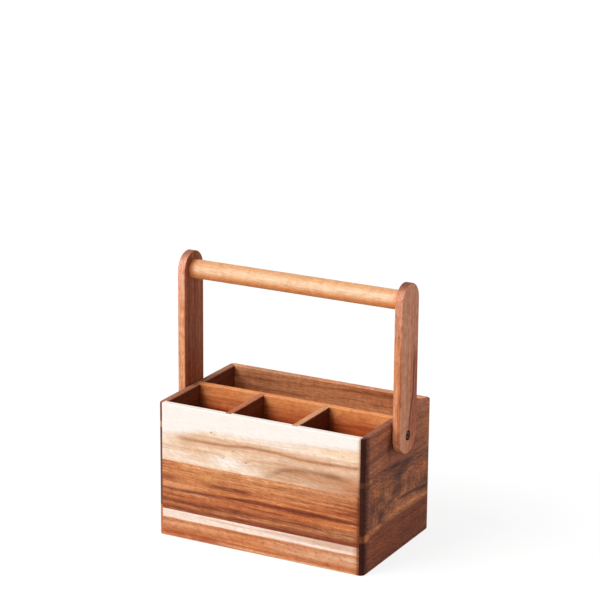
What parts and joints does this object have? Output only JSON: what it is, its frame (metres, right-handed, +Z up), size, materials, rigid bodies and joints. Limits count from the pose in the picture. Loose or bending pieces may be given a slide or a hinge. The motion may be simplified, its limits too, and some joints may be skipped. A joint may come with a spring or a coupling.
{
  "type": "utensil caddy",
  "caption": "Open wooden utensil caddy with small front compartments, a long back compartment and a swinging carry handle.",
  "frame": {"origin": "on the surface the caddy stands on, under the middle of the case", "axes": "+Z up with the handle upright, +X to the right seen from the front, +Y from the front wall to the back wall"},
  "size_m": [0.2324, 0.138, 0.258],
  "materials": {
    "acacia_sapwood": "satin oil over sanded acacia",
    "acacia_amber": "satin oil over sanded acacia",
    "acacia_tan": "satin oil over sanded acacia",
    "acacia_brown": "satin oil over sanded acacia",
    "acacia_dark": "satin oil over sanded acacia",
    "acacia_figured": "satin oil over sanded acacia",
    "acacia_orange": "satin oil over sanded acacia",
    "acacia_handle": "satin oil over sanded acacia",
    "acacia_honey": "satin oil over sanded acacia",
    "screw_steel": "dark bronze-coloured coating",
    "washer_nylon": "plain black nylon"
  },
  "bodies": {
    "caddy": {"front_bottom_board": "acacia_tan", "front_middle_board": "acacia_amber", "front_top_board": "acacia_sapwood", "back_bottom_board": "acacia_dark", "back_middle_board": "acacia_amber", "back_top_board": "acacia_brown", "left_bottom_board": "acacia_brown", "left_middle_board": "acacia_tan", "left_top_board": "acacia_brown", "right_bottom_board": "acacia_dark", "right_middle_board": "acacia_figured", "right_top_board": "acacia_brown", "base_front_board": "acacia_brown", "base_middle_board": "acacia_tan", "base_back_board": "acacia_brown", "long_divider": "acacia_orange", "left_cross_divider": "acacia_brown", "right_cross_divider": "acacia_tan", "left_pivot_screw": "screw_steel", "right_pivot_screw": "screw_steel", "left_pivot_washer": "washer_nylon", "right_pivot_washer": "washer_nylon"},
    "handle": {"left_handle_arm": "acacia_handle", "right_handle_arm": "acacia_handle", "handle_grip": "acacia_honey"}
  },
  "joints": [
    {"name": "handle_swing", "type": "hinge", "parent": "caddy", "child": "handle", "pos_m": [0, 0, 0.115], "axis": [1, 0, 0], "range_deg": [-140, 140]}
  ]
}
